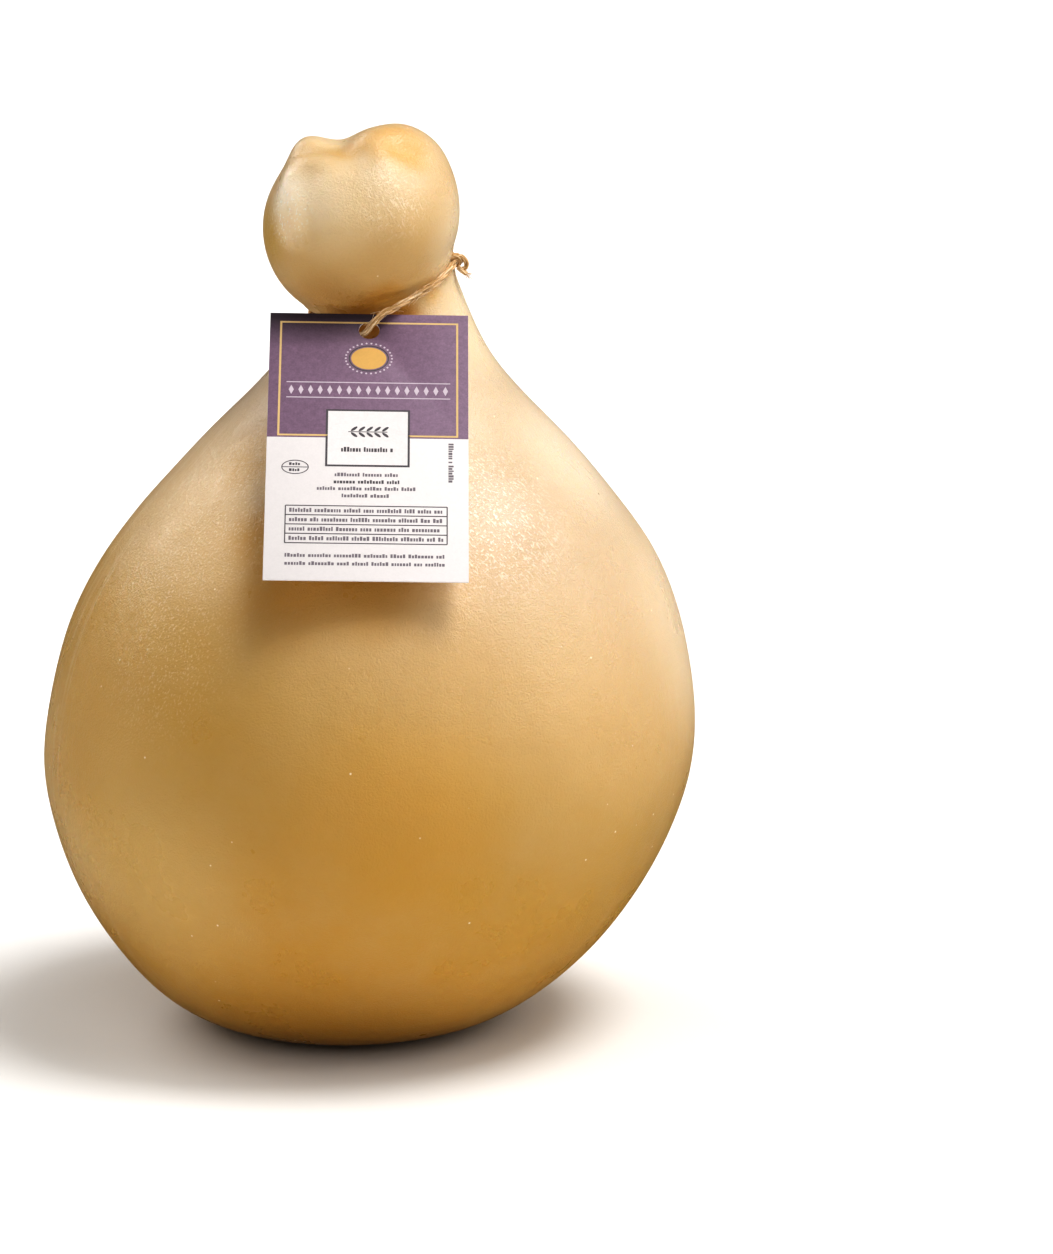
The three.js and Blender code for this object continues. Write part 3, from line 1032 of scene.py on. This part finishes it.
@dataclass
class Twine:
    """Three-ply jute round the neck, with its knot, a small eye and a frayed end."""

    finish: JuteFinish = field(default_factory=JuteFinish)
    plies: int = 3
    ply_lay_mm: float = 0.44
    ply_pitch_mm: float = 15.0
    yarns: int = 6
    yarn_mm: float = 0.17
    yarn_lay_mm: float = 0.29
    yarn_pitch_mm: float = 7.0
    yarn_tones: tuple[JuteTone, ...] = (JuteTone.SHADE, JuteTone.BODY, JuteTone.BODY, JuteTone.LIGHT)
    yarn_uneven: Span = (0.85, 1.2)
    core_share: float = 1.6
    slub: float = 0.2
    slub_per_mm: float = 0.3
    slub_apart: float = 7.3
    step_mm: float = 0.45
    eye_scale: float = 0.76
    wrap_points: int = 36
    wrap_start: float = -0.6
    wrap_shift: Point = (0.15, -0.5, -0.1)
    wrap_turns: float = 1.6
    wrap_mm: float = 1.15
    wrap_slide_mm: float = 1.7
    fibre_mm: float = 0.04
    loose_fibres: int = 90
    loose_mm: Span = (1.0, 3.2)
    loose_lift: Span = (0.12, 0.45)
    loose_bend: float = 0.25
    loose_steps: tuple[float, ...] = (0.0, 0.35, 0.7, 1.0)
    frayed_fibres: int = 18
    frayed_mm: Span = (0.5, 1.3)
    frayed_back_mm: float = 0.5
    frayed_start_mm: float = 0.3
    frayed_spread: float = 0.45
    frayed_thick: float = 1.4
    frayed_steps: tuple[float, ...] = (0.0, 0.4, 0.75, 1.0)
    seed: int = 11

    def build(self) -> tuple[Obj, Obj]:
        """Lays the plies and pulls loose fibres out of them.

        Returns:
            The laid twine and its loose fibres.
        """
        draw = random.Random(self.seed)
        plies = self._new_curve("twine_plies", 1)
        self._lay(plies, smooth_route(TWINE_ROUTE, self.step_mm), 1.0, draw)
        knot = [smooth_route(route, self.step_mm) for route in (EYE_ROUTE, END_ROUTE)]
        for route in (*knot, self._wrap()):
            self._lay(plies, route, self.eye_scale, draw)
        fibres = self._new_curve("twine_fibres", 0)
        self._pull_fibres(fibres, draw)
        self._fray_end(fibres, draw)
        return self._to_mesh(plies), self._to_mesh(fibres)

    def _new_curve(self, name: str, sides: int) -> Obj:
        """Starts a round curve object.

        Args:
            name: the piece's name.
            sides: bevel resolution of the round section.

        Returns:
            The empty curve object.
        """
        curve = bpy.data.curves.new(name, "CURVE")
        curve.dimensions = "3D"
        curve.bevel_depth = 1.0
        curve.bevel_resolution = sides
        curve.use_fill_caps = True
        obj = bpy.data.objects.new(name, curve)
        bpy.context.scene.collection.objects.link(obj)
        for tone in JuteTone:
            curve.materials.append(self.finish.material(tone))
        return obj

    def _add_line(self, obj: Obj, points: list[Vector], radii: list[float], tone: JuteTone) -> None:
        """Adds one strand to a curve object.

        Args:
            obj: the curve object.
            points: the strand's points in millimetres.
            radii: its radius at each point in millimetres.
            tone: the strand's jute.
        """
        spline = obj.data.splines.new("POLY")
        spline.material_index = list(JuteTone).index(tone)
        spline.use_smooth = True
        spline.points.add(len(points) - 1)
        for target, point, radius in zip(spline.points, points, radii):
            target.co = (*(point * MM), 1.0)
            target.radius = radius * MM

    def _lay(self, obj: Obj, walk: list[Vector], scale: float, draw: random.Random) -> None:
        """Lays plies round each other along a route, and in each ply its yarns the other way round.

        Args:
            obj: the curve object that takes the yarns.
            walk: evenly spaced points of the route, in millimetres.
            scale: size of this stretch against the full twine.
            draw: source of the spinning's unevenness.
        """
        frames = route_frames(walk)
        start = draw.uniform(0, math.tau)
        gone = [0.0]
        for a, b in zip(walk, walk[1:]):
            gone.append(gone[-1] + (b - a).length)
        for ply in range(self.plies):
            first = start + math.tau * ply / self.plies
            for yarn in range(self.yarns + 1):
                core = yarn == self.yarns
                out = 0.0 if core else self.yarn_lay_mm * scale
                full = self.core_share if core else 1.0
                thick = self.yarn_mm * scale * draw.uniform(*self.yarn_uneven) * full
                tone = draw.choice(self.yarn_tones)
                points: list[Vector] = []
                radii: list[float] = []
                for centre, (_, side, across), at in zip(walk, frames, gone):
                    turn = first + math.tau * at / (self.ply_pitch_mm * scale)
                    ply_out = around(side, across, turn)
                    spin = turn + math.tau * (yarn / self.yarns - at / (self.yarn_pitch_mm * scale))
                    yarn_out = around(side, across, spin)
                    points.append(centre + ply_out * self.ply_lay_mm * scale + yarn_out * out)
                    lumpy = noise.noise(Vector((at * self.slub_per_mm, self.slub_apart * yarn, first)))
                    radii.append(thick * (1 + self.slub * lumpy))
                self._add_line(obj, points, radii, tone)

    def _wrap(self) -> list[Vector]:
        """Route of the turn that closes the knot, round the twine's own line.

        Returns:
            Points of the wrap, in millimetres.
        """
        axis = (Vector(TWINE_ROUTE[1]) - Vector(TWINE_ROUTE[-1])).normalized()
        side = (Vector((1, 0, 0)) - axis * axis.x).normalized()
        across = axis.cross(side)
        middle = Vector(TWINE_ROUTE[0]) + Vector(self.wrap_shift)
        walk: list[Vector] = []
        for i in range(self.wrap_points):
            share = i / (self.wrap_points - 1)
            turn = self.wrap_start + math.tau * self.wrap_turns * share
            out = around(side, across, turn)
            walk.append(middle + axis * (share - 0.5) * self.wrap_slide_mm + out * self.wrap_mm)
        return walk

    @staticmethod
    def _any_way(draw: random.Random) -> Vector:
        """Draws a direction and length inside a cube of half size 1."""
        return Vector((draw.uniform(-1, 1), draw.uniform(-1, 1), draw.uniform(-1, 1)))

    def _pull_fibres(self, obj: Obj, draw: random.Random) -> None:
        """Pulls single fibres out of the twine all along it.

        Args:
            obj: the curve object that takes the fibres.
            draw: source of their places and bends.
        """
        walk = smooth_route(TWINE_ROUTE, self.step_mm)
        frames = route_frames(walk)
        skin_mm = self.ply_lay_mm + self.yarn_lay_mm
        for _ in range(self.loose_fibres):
            i = draw.randrange(2, len(walk) - 2)
            tangent, side, across = frames[i]
            turn = draw.uniform(0, math.tau)
            out = around(side, across, turn)
            along = tangent * draw.choice((-1, 1))
            start = walk[i] + out * skin_mm
            length = draw.uniform(*self.loose_mm)
            lift = out * draw.uniform(*self.loose_lift)
            bend = self._any_way(draw) * self.loose_bend
            points = [start + (along + lift + bend * t) * length * t for t in self.loose_steps]
            self._add_line(obj, points, [self.fibre_mm] * len(points), JuteTone.LIGHT)

    def _fray_end(self, obj: Obj, draw: random.Random) -> None:
        """Spreads the fibres of the cut end.

        Args:
            obj: the curve object that takes the fibres.
            draw: source of their spread.
        """
        tip = Vector(END_ROUTE[-1])
        away = (tip - Vector(END_ROUTE[-2])).normalized()
        for _ in range(self.frayed_fibres):
            spread = self._any_way(draw)
            start = tip - away * self.frayed_back_mm + spread * self.frayed_start_mm
            length = draw.uniform(*self.frayed_mm)
            bend = spread * self.frayed_spread
            points = [start + (away + bend * t) * length * t for t in self.frayed_steps]
            self._add_line(obj, points, [self.fibre_mm * self.frayed_thick] * len(points), JuteTone.BODY)

    def _to_mesh(self, obj: Obj) -> Obj:
        """Turns a curve object to a smooth mesh.

        Args:
            obj: the curve object.

        Returns:
            The same object as a mesh.
        """
        select_only(obj)
        bpy.ops.object.convert(target="MESH")
        bpy.ops.object.shade_smooth()
        return obj

    def dress(self, plies: Obj, fibres: Obj) -> None:
        """Hands the twine and its fibres over; each strand already has its jute.

        Args:
            plies: the laid twine.
            fibres: its loose fibres.
        """
        hand_over(plies, "twine")
        hand_over(fibres)


@dataclass(frozen=True)
class PrintLayout:
    """Sizes of the print in millimetres, across from the hole's line and down from the card's top edge."""

    line: float = 0.5
    frame_inset: float = 2.4
    frame_gap: float = 0.4
    seal_depth: float = 13.1
    seal_half: Span = (4.2, 3.2)
    seal_rim_half: Span = (4.8, 3.8)
    seal_rim: float = 0.3
    dot_ring: Span = (5.5, 4.4)
    dots: int = 30
    dot_half: Span = (0.24, 0.24)
    border_half: float = 19.4
    border_rules: Span = (20.2, 24.6)
    border_line: float = 0.28
    lozenges: int = 17
    lozenge_depth: float = 22.4
    lozenge_half: Span = (0.62, 1.35)
    panel_half: float = 9.9
    panel_depths: Span = (28.0, 44.3)
    sprig_depth: float = 34.4
    sprig_half: float = 4.6
    sprig_line: float = 0.2
    leaves: int = 5
    leaf_start: float = -0.7
    leaf_half: Span = (0.95, 0.34)
    leaf_out: float = 0.85
    leaf_deg: float = 40.0
    panel_row_depth: float = 39.6
    panel_row_half: float = 6.2
    panel_row_tall: float = 1.0
    block: Span = (0.36, 0.62)
    block_gap: float = 0.2
    word_blocks: tuple[int, int] = (3, 9)
    word_gap: float = 0.55
    room: float = 0.4
    row_tall: float = 0.75
    rows: tuple[tuple[float, float, Ink], ...] = (
        (46.7, 7.6, Ink.GREY),
        (48.7, 7.8, Ink.DARK),
        (50.6, 11.7, Ink.GREY),
        (52.6, 5.9, Ink.GREY),
    )
    upright_depths: Span = (37.4, 48.4)
    upright_sides: Span = (19.0, 19.9)
    upright_rises: Span = (0.0, 0.3)
    upright_gaps: tuple[float, ...] = (0.2, 0.2, 0.2, 0.7)
    stamp: Span = (-16.9, 44.6)
    stamp_half: Span = (3.2, 2.0)
    stamp_rim: float = 0.22
    stamp_bar: Span = (3.0, 0.1)
    stamp_rows: Span = (43.8, 45.5)
    stamp_row_half: float = 1.4
    stamp_row_tall: float = 0.55
    foot_rows: Span = (69.3, 71.5)
    foot_sides: Span = (-18.8, 18.6)
    table_sides: Span = (-18.9, 18.7)
    table_rules: tuple[float, ...] = (55.4, 58.0, 60.6, 63.2, 65.8)
    table_line: float = 0.26
    table_inset: float = 0.9
    table_row_drop: float = 0.1
    table_row_tall: float = 0.85


@dataclass
class Tag:
    """The printed card, in millimetres from the hole's centre: x to the right, y up, z out of the print."""

    finish: CardFinish = field(default_factory=CardFinish)
    layout: PrintLayout = field(default_factory=PrintLayout)
    width: float = 47.4
    height: float = 76.0
    thickness: float = 0.45
    hole_radius: float = 2.5
    hole_inset: float = 4.8
    hole_sides: int = 64
    punch_share: float = 6.0
    front_share: float = 0.9
    edge_round: float = 0.06
    edge_deg: float = 40.0
    smooth_deg: float = 30.0
    hole: Point = (7.2, -24.0, 176.3)
    lean_deg: float = 43.0
    turn_deg: float = 3.0
    roll_deg: float = -1.5
    field_depth: float = 36.1
    ink_lift: float = 0.02
    oval_sides: int = 56
    seed: int = 5

    def place(self) -> Matrix:
        """Works out where the card's own frame stands in the object's frame.

        Returns:
            The card's frame, from millimetres to metres.
        """
        turn = Matrix.Rotation(math.radians(self.turn_deg), 4, "Z")
        lean = Matrix.Rotation(math.radians(90 - self.lean_deg), 4, "X")
        roll = Matrix.Rotation(math.radians(self.roll_deg), 4, "Z")
        return Matrix.Translation(Vector(self.hole) * MM) @ turn @ lean @ roll @ Matrix.Scale(MM, 4)

    def _settle(self, obj: Obj) -> None:
        """Moves a piece that was made flat, in millimetres, to its place and applies it.

        Args:
            obj: the flat piece.
        """
        obj.matrix_world = self.place()
        select_only(obj)
        bpy.ops.object.transform_apply(location=True, rotation=True, scale=True)

    def build_card(self) -> Obj:
        """Cuts the card, punches its hole and marks out its inked field.

        Returns:
            The card in its place.
        """
        bpy.ops.object.select_all(action="DESELECT")
        middle = (0, self.hole_inset - self.height / 2, -self.thickness / 2)
        bpy.ops.mesh.primitive_cube_add(size=1, location=middle)
        card = bpy.context.object
        card.name = "tag_card"
        card.scale = (self.width, self.height, self.thickness)
        bpy.ops.object.transform_apply(location=True, rotation=True, scale=True)
        bpy.ops.mesh.primitive_cylinder_add(
            vertices=self.hole_sides, radius=self.hole_radius, depth=self.punch_share * self.thickness)
        punch = bpy.context.object
        apply_modifier(card, "BOOLEAN", object=punch, operation="DIFFERENCE", solver="EXACT")
        bpy.data.objects.remove(punch)
        select_only(card)
        bpy.ops.object.mode_set(mode="EDIT")
        bpy.ops.mesh.select_all(action="SELECT")
        bpy.ops.mesh.bisect(plane_co=(0, self.hole_inset - self.field_depth, 0), plane_no=(0, 1, 0))
        bpy.ops.object.mode_set(mode="OBJECT")
        card.data.materials.append(self.finish.bare())
        card.data.materials.append(self.finish.inked(Ink.PURPLE))
        for face in card.data.polygons:
            front = face.normal.z > self.front_share
            upper = face.center.y > self.hole_inset - self.field_depth
            face.material_index = 1 if front and upper else 0
        apply_modifier(card, "BEVEL", width=self.edge_round, segments=2, limit_method="ANGLE",
                       angle_limit=math.radians(self.edge_deg))
        self._settle(card)
        bpy.ops.object.shade_smooth_by_angle(angle=math.radians(self.smooth_deg))
        return card

    def build_print(self) -> Obj:
        """Lays the printed rules, panels and bars a hair above the card.

        Returns:
            The print in its place.
        """
        bpy.ops.object.select_all(action="DESELECT")
        bpy.ops.mesh.primitive_plane_add(size=1)
        sheet = bpy.context.object
        sheet.name = "tag_print"
        for ink in Ink:
            sheet.data.materials.append(self.finish.inked(ink))
        bpy.ops.object.mode_set(mode="EDIT")
        bpy.ops.mesh.delete(type="VERT")
        draw = random.Random(self.seed)
        self._frame()
        self._seal()
        self._title_border()
        self._panel(draw)
        self._rows(draw)
        self._table(draw)
        bpy.ops.object.mode_set(mode="OBJECT")
        self._settle(sheet)
        return sheet

    @staticmethod
    def _ink(ink: Ink) -> None:
        """Assigns an ink to the faces that were just added."""
        bpy.context.object.active_material_index = list(Ink).index(ink)
        bpy.ops.object.material_slot_assign()

    def _bar(self, ink: Ink, left: float, top: float, right: float, low: float, level: int = 1) -> None:
        """Prints one bar.

        Args:
            ink: the bar's ink.
            left: its left edge.
            top: its top edge, down from the card's top edge.
            right: its right edge.
            low: its lower edge, down from the card's top edge.
            level: number of ink layers that it stands on.
        """
        bpy.ops.mesh.select_all(action="DESELECT")
        centre = ((left + right) / 2, self.hole_inset - (top + low) / 2, self.ink_lift * level)
        bpy.ops.mesh.primitive_plane_add(size=1, location=centre)
        bpy.ops.transform.resize(value=(right - left, low - top, 1), center_override=centre)
        self._ink(ink)

    def _oval(self, ink: Ink, x: float, depth: float, half: Span, sides: int = 0,
              level: int = 1, rim: float = 0.0, turn_deg: float = 0.0) -> None:
        """Prints a filled oval, a lozenge of few sides or, with a rim, an oval line.

        Args:
            ink: the oval's ink.
            x: its centre across the card.
            depth: its centre down from the card's top edge.
            half: half its width and half its height.
            sides: number of its sides, or 0 for a smooth oval.
            level: number of ink layers that it stands on.
            rim: width of the line, or 0 for a filled oval.
            turn_deg: how far it is turned.
        """
        bpy.ops.mesh.select_all(action="DESELECT")
        centre = (x, self.hole_inset - depth, self.ink_lift * level)
        bpy.ops.mesh.primitive_circle_add(
            vertices=sides or self.oval_sides, radius=1, fill_type="NGON", location=centre)
        bpy.ops.transform.resize(value=(*half, 1), center_override=centre)
        if turn_deg:
            bpy.ops.transform.rotate(value=math.radians(turn_deg), orient_axis="Z", center_override=centre)
        self._ink(ink)
        if rim > 0:
            bpy.ops.mesh.inset(thickness=rim)
            bpy.ops.mesh.delete(type="FACE")

    def _words(self, ink: Ink, sides: Span, depth: float, tall: float, draw: random.Random,
               level: int = 1) -> None:
        """Prints one row of small blocks, in groups, in place of words.

        Args:
            ink: the blocks' ink.
            sides: where the row starts and ends.
            depth: the row's middle, down from the card's top edge.
            tall: height of a low block; some are a third taller.
            draw: source of the blocks' sizes.
            level: number of ink layers that the row stands on.
        """
        layout = self.layout
        at, right = sides
        last = right - layout.room
        while at < last:
            for _ in range(draw.randint(*layout.word_blocks)):
                end = min(right, at + draw.uniform(*layout.block))
                rise = draw.choice((0.0, 0.0, tall / 3))
                self._bar(ink, at, depth - tall / 2 - rise, end, depth + tall / 2, level=level)
                at = end + layout.block_gap
                if at > last:
                    break
            at += layout.word_gap

    def _frame(self) -> None:
        """Prints the gold rule round the plum field."""
        line = self.layout.line
        top = self.layout.frame_inset
        edge = self.width / 2 - top
        low = self.field_depth - self.layout.frame_gap
        self._bar(Ink.RULE, -edge, top, edge, top + line)
        self._bar(Ink.RULE, -edge, low - line, edge, low)
        self._bar(Ink.RULE, -edge, top + line, line - edge, low - line)
        self._bar(Ink.RULE, edge - line, top + line, edge, low - line)

    def _seal(self) -> None:
        """Prints a plain gold oval in a dark line and a ring of pale dots."""
        layout = self.layout
        depth = layout.seal_depth
        self._oval(Ink.GOLD, 0.0, depth, layout.seal_half)
        self._oval(Ink.DARK, 0.0, depth, layout.seal_rim_half, rim=layout.seal_rim)
        wide, tall = layout.dot_ring
        for i in range(layout.dots):
            turn = math.tau * i / layout.dots
            self._oval(Ink.PALE, wide * math.cos(turn), depth + tall * math.sin(turn), layout.dot_half)

    def _title_border(self) -> None:
        """Prints a border of pale lozenges between two thin rules across the plum field."""
        layout = self.layout
        half = layout.border_half
        thin = layout.border_line / 2
        for depth in layout.border_rules:
            self._bar(Ink.PALE, -half, depth - thin, half, depth + thin)
        step = 2 * half / layout.lozenges
        for i in range(layout.lozenges):
            self._oval(Ink.PALE, step * (i + 0.5) - half, layout.lozenge_depth, layout.lozenge_half, sides=4)

    def _panel(self, draw: random.Random) -> None:
        """Prints the white panel with its dark rule and, inside, a sprig over a short row of blocks.

        Args:
            draw: source of the blocks' sizes.
        """
        layout = self.layout
        half = layout.panel_half
        inner = half - layout.line
        top, low = layout.panel_depths
        self._bar(Ink.DARK, -half, top, half, low)
        self._bar(Ink.WHITE, -inner, top + layout.line, inner, low - layout.line, level=2)
        depth = layout.sprig_depth
        reach = layout.sprig_half
        thin = layout.sprig_line / 2
        self._bar(Ink.DARK, -reach, depth - thin, reach, depth + thin, level=3)
        for i in range(layout.leaves):
            x = reach * (2 * i / layout.leaves + layout.leaf_start)
            for way in (-1, 1):
                self._oval(Ink.DARK, x, depth + way * layout.leaf_out, layout.leaf_half, level=3,
                           turn_deg=way * layout.leaf_deg)
        sides = (-layout.panel_row_half, layout.panel_row_half)
        self._words(Ink.DARK, sides, layout.panel_row_depth, layout.panel_row_tall, draw, level=3)

    def _rows(self, draw: random.Random) -> None:
        """Prints the centred rows, the upright row, the small oval and the rows at the foot.

        Args:
            draw: source of the blocks' sizes.
        """
        layout = self.layout
        for depth, half, ink in layout.rows:
            self._words(ink, (-half, half), depth, layout.row_tall, draw)
        at, low = layout.upright_depths
        left, right = layout.upright_sides
        while at < low:
            end = at + draw.uniform(*layout.block)
            self._bar(Ink.GREY, left, at, right + draw.choice(layout.upright_rises), end)
            at = end + draw.choice(layout.upright_gaps)
        x, depth = layout.stamp
        wide, thin = layout.stamp_bar
        self._oval(Ink.DARK, x, depth, layout.stamp_half, rim=layout.stamp_rim)
        self._bar(Ink.DARK, x - wide, depth - thin, x + wide, depth + thin)
        sides = (x - layout.stamp_row_half, x + layout.stamp_row_half)
        for depth in layout.stamp_rows:
            self._words(Ink.DARK, sides, depth, layout.stamp_row_tall, draw)
        for depth in layout.foot_rows:
            self._words(Ink.GREY, layout.foot_sides, depth, layout.row_tall, draw)

    def _table(self, draw: random.Random) -> None:
        """Prints the ruled table with a row of blocks in each line.

        Args:
            draw: source of the blocks' sizes.
        """
        layout = self.layout
        left, right = layout.table_sides
        rules = layout.table_rules
        thin = layout.table_line / 2
        for depth in rules:
            self._bar(Ink.DARK, left, depth - thin, right, depth + thin)
        for x in layout.table_sides:
            self._bar(Ink.DARK, x - thin, rules[0], x + thin, rules[-1])
        sides = (left + layout.table_inset, right - layout.table_inset)
        for upper, lower in zip(rules, rules[1:]):
            depth = (upper + lower) / 2 + layout.table_row_drop
            self._words(Ink.GREY, sides, depth, layout.table_row_tall, draw)

    def dress(self, card: Obj, sheet: Obj) -> None:
        """Hands the card and its print over.

        Args:
            card: the cut card.
            sheet: its print.
        """
        hand_over(card, "tag")
        hand_over(sheet)


class Bank(Enum):
    """Broad far lights: where each comes from, its power and its spread; SWEEP lights the floor alone."""

    KEY = ((0.36, -0.07, 0.93), 1.55, 24.0)
    SOFT = ((0.5, 0.0, 0.86), 1.05, 60.0)
    RIGHT = ((0.86, -0.2, 0.46), 0.56, 40.0)
    LEFT = ((-0.95, 0.2, 0.2), 0.27, 40.0)
    LEFT_BACK = ((-0.6, 0.5, 0.6), 1.0, 40.0)
    FRONT = ((0.1, -0.98, 0.12), 0.52, 70.0)
    SWEEP = ((-0.4, -0.5, 0.77), 0.65, 60.0)

    def __init__(self, towards: Point, power: float, spread_deg: float) -> None:
        """Keeps the light's values.

        Args:
            towards: the direction that the light comes from.
            power: its strength.
            spread_deg: how wide it spreads.
        """
        self.towards = towards
        self.power = power
        self.spread_deg = spread_deg


@dataclass
class Studio:
    """Pale floor, soft light and the camera at the photograph's angle."""

    target_mm: Point = (44.84, 0.0, 99.31)
    distance_mm: float = 1000.0
    pitch_deg: float = 11.0
    focal_px: float = 4018.5
    frame_tall_px: float = 1254.0
    sensor_mm: float = 36.0
    clip_m: float = 1000.0
    sky: float = 0.03
    floor_m: float = 28.0
    floor_drop_mm: float = 0.1
    wall_share: float = 0.48
    paper: str = "#dddcda"

    def build(self) -> None:
        """Builds the whole studio."""
        self._light(self._floor())
        self._backdrop()
        self._camera()
        bpy.context.scene.view_settings.view_transform = "Standard"
        bpy.context.scene.view_settings.look = "High Contrast"

    def _floor(self) -> Obj:
        """Lays a white paper sweep under everything.

        Returns:
            The floor.
        """
        bpy.ops.object.select_all(action="DESELECT")
        bpy.ops.mesh.primitive_plane_add(size=self.floor_m, location=(0, 0, -self.floor_drop_mm * MM))
        floor = bpy.context.object
        floor.name = "floor"
        # Matt white paper gives the eye a plain ground with a soft shadow on it.
        material, tree = new_material("white_paper_floor")
        surface(tree, {"Base Color": linear(self.paper), "Roughness": 0.9, "Specular IOR Level": 0.1})
        floor.data.materials.append(material)
        floor.visible_glossy = False
        return floor

    def _backdrop(self) -> None:
        """Stands a far white wall round the floor, which only the camera sees."""
        bpy.ops.object.select_all(action="DESELECT")
        bpy.ops.mesh.primitive_cylinder_add(
            radius=self.wall_share * self.floor_m, depth=self.floor_m, end_fill_type="NOTHING")
        wall = bpy.context.object
        wall.name = "backdrop"
        # Glowing white gives the eye an even ground behind the floor.
        material, tree = new_material("white_backdrop")
        surface(tree, {
            "Base Color": linear("#000000"), "Emission Color": linear("#ffffff"), "Emission Strength": 1.0})
        material.cycles.emission_sampling = "NONE"
        wall.data.materials.append(material)
        wall.visible_diffuse = False
        wall.visible_glossy = False
        wall.visible_transmission = False
        wall.visible_shadow = False

    def _light(self, floor: Obj) -> None:
        """Hangs the broad lights in a dim even surround.

        Args:
            floor: the paper sweep, which has a light of its own that softens the shadow on it.
        """
        sweep = bpy.data.collections.new("sweep")
        sweep.objects.link(floor)
        world = bpy.data.worlds.new("dim_surround")
        world.use_nodes = True
        bpy.context.scene.world = world
        world.node_tree.nodes.clear()
        sky = add_node(world.node_tree, "Background", {"Color": (1, 1, 1, 1), "Strength": self.sky})
        add_node(world.node_tree, "OutputWorld", {"Surface": sky["Background"]})
        for bank in Bank:
            lamp = bpy.data.lights.new(bank.name.lower(), "SUN")
            lamp.energy = bank.power
            lamp.angle = math.radians(bank.spread_deg)
            holder = bpy.data.objects.new(lamp.name, lamp)
            holder.rotation_euler = Vector(bank.towards).to_track_quat("Z", "Y").to_euler()
            if bank is Bank.SWEEP:
                holder.light_linking.receiver_collection = sweep
            bpy.context.scene.collection.objects.link(holder)

    def _camera(self) -> None:
        """Stands the camera at the photograph's angle and distance."""
        pitch = math.radians(self.pitch_deg)
        data = bpy.data.cameras.new("camera")
        data.sensor_width = self.sensor_mm
        data.lens = self.sensor_mm * self.focal_px / self.frame_tall_px
        data.clip_end = self.clip_m
        camera = bpy.data.objects.new("camera", data)
        look = Vector((0.0, math.cos(pitch), -math.sin(pitch)))
        camera.location = (Vector(self.target_mm) - look * self.distance_mm) * MM
        camera.rotation_euler = Euler((math.pi / 2 - pitch, 0.0, 0.0))
        bpy.context.scene.collection.objects.link(camera)
        bpy.context.scene.camera = camera


def main() -> None:
    """Builds the cheese, its twine, its tag and the studio."""
    logging.basicConfig(level=logging.INFO, format="%(name)s %(message)s")
    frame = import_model()

    cheese = Cheese(node=frame["nodes"]["cheese"])
    cheese.dress(cheese.build())

    twine = Twine()
    twine.dress(*twine.build())

    tag = Tag()
    card = tag.build_card()
    tag.dress(card, tag.build_print())

    Studio().build()


if __name__ == "__main__":
    main()
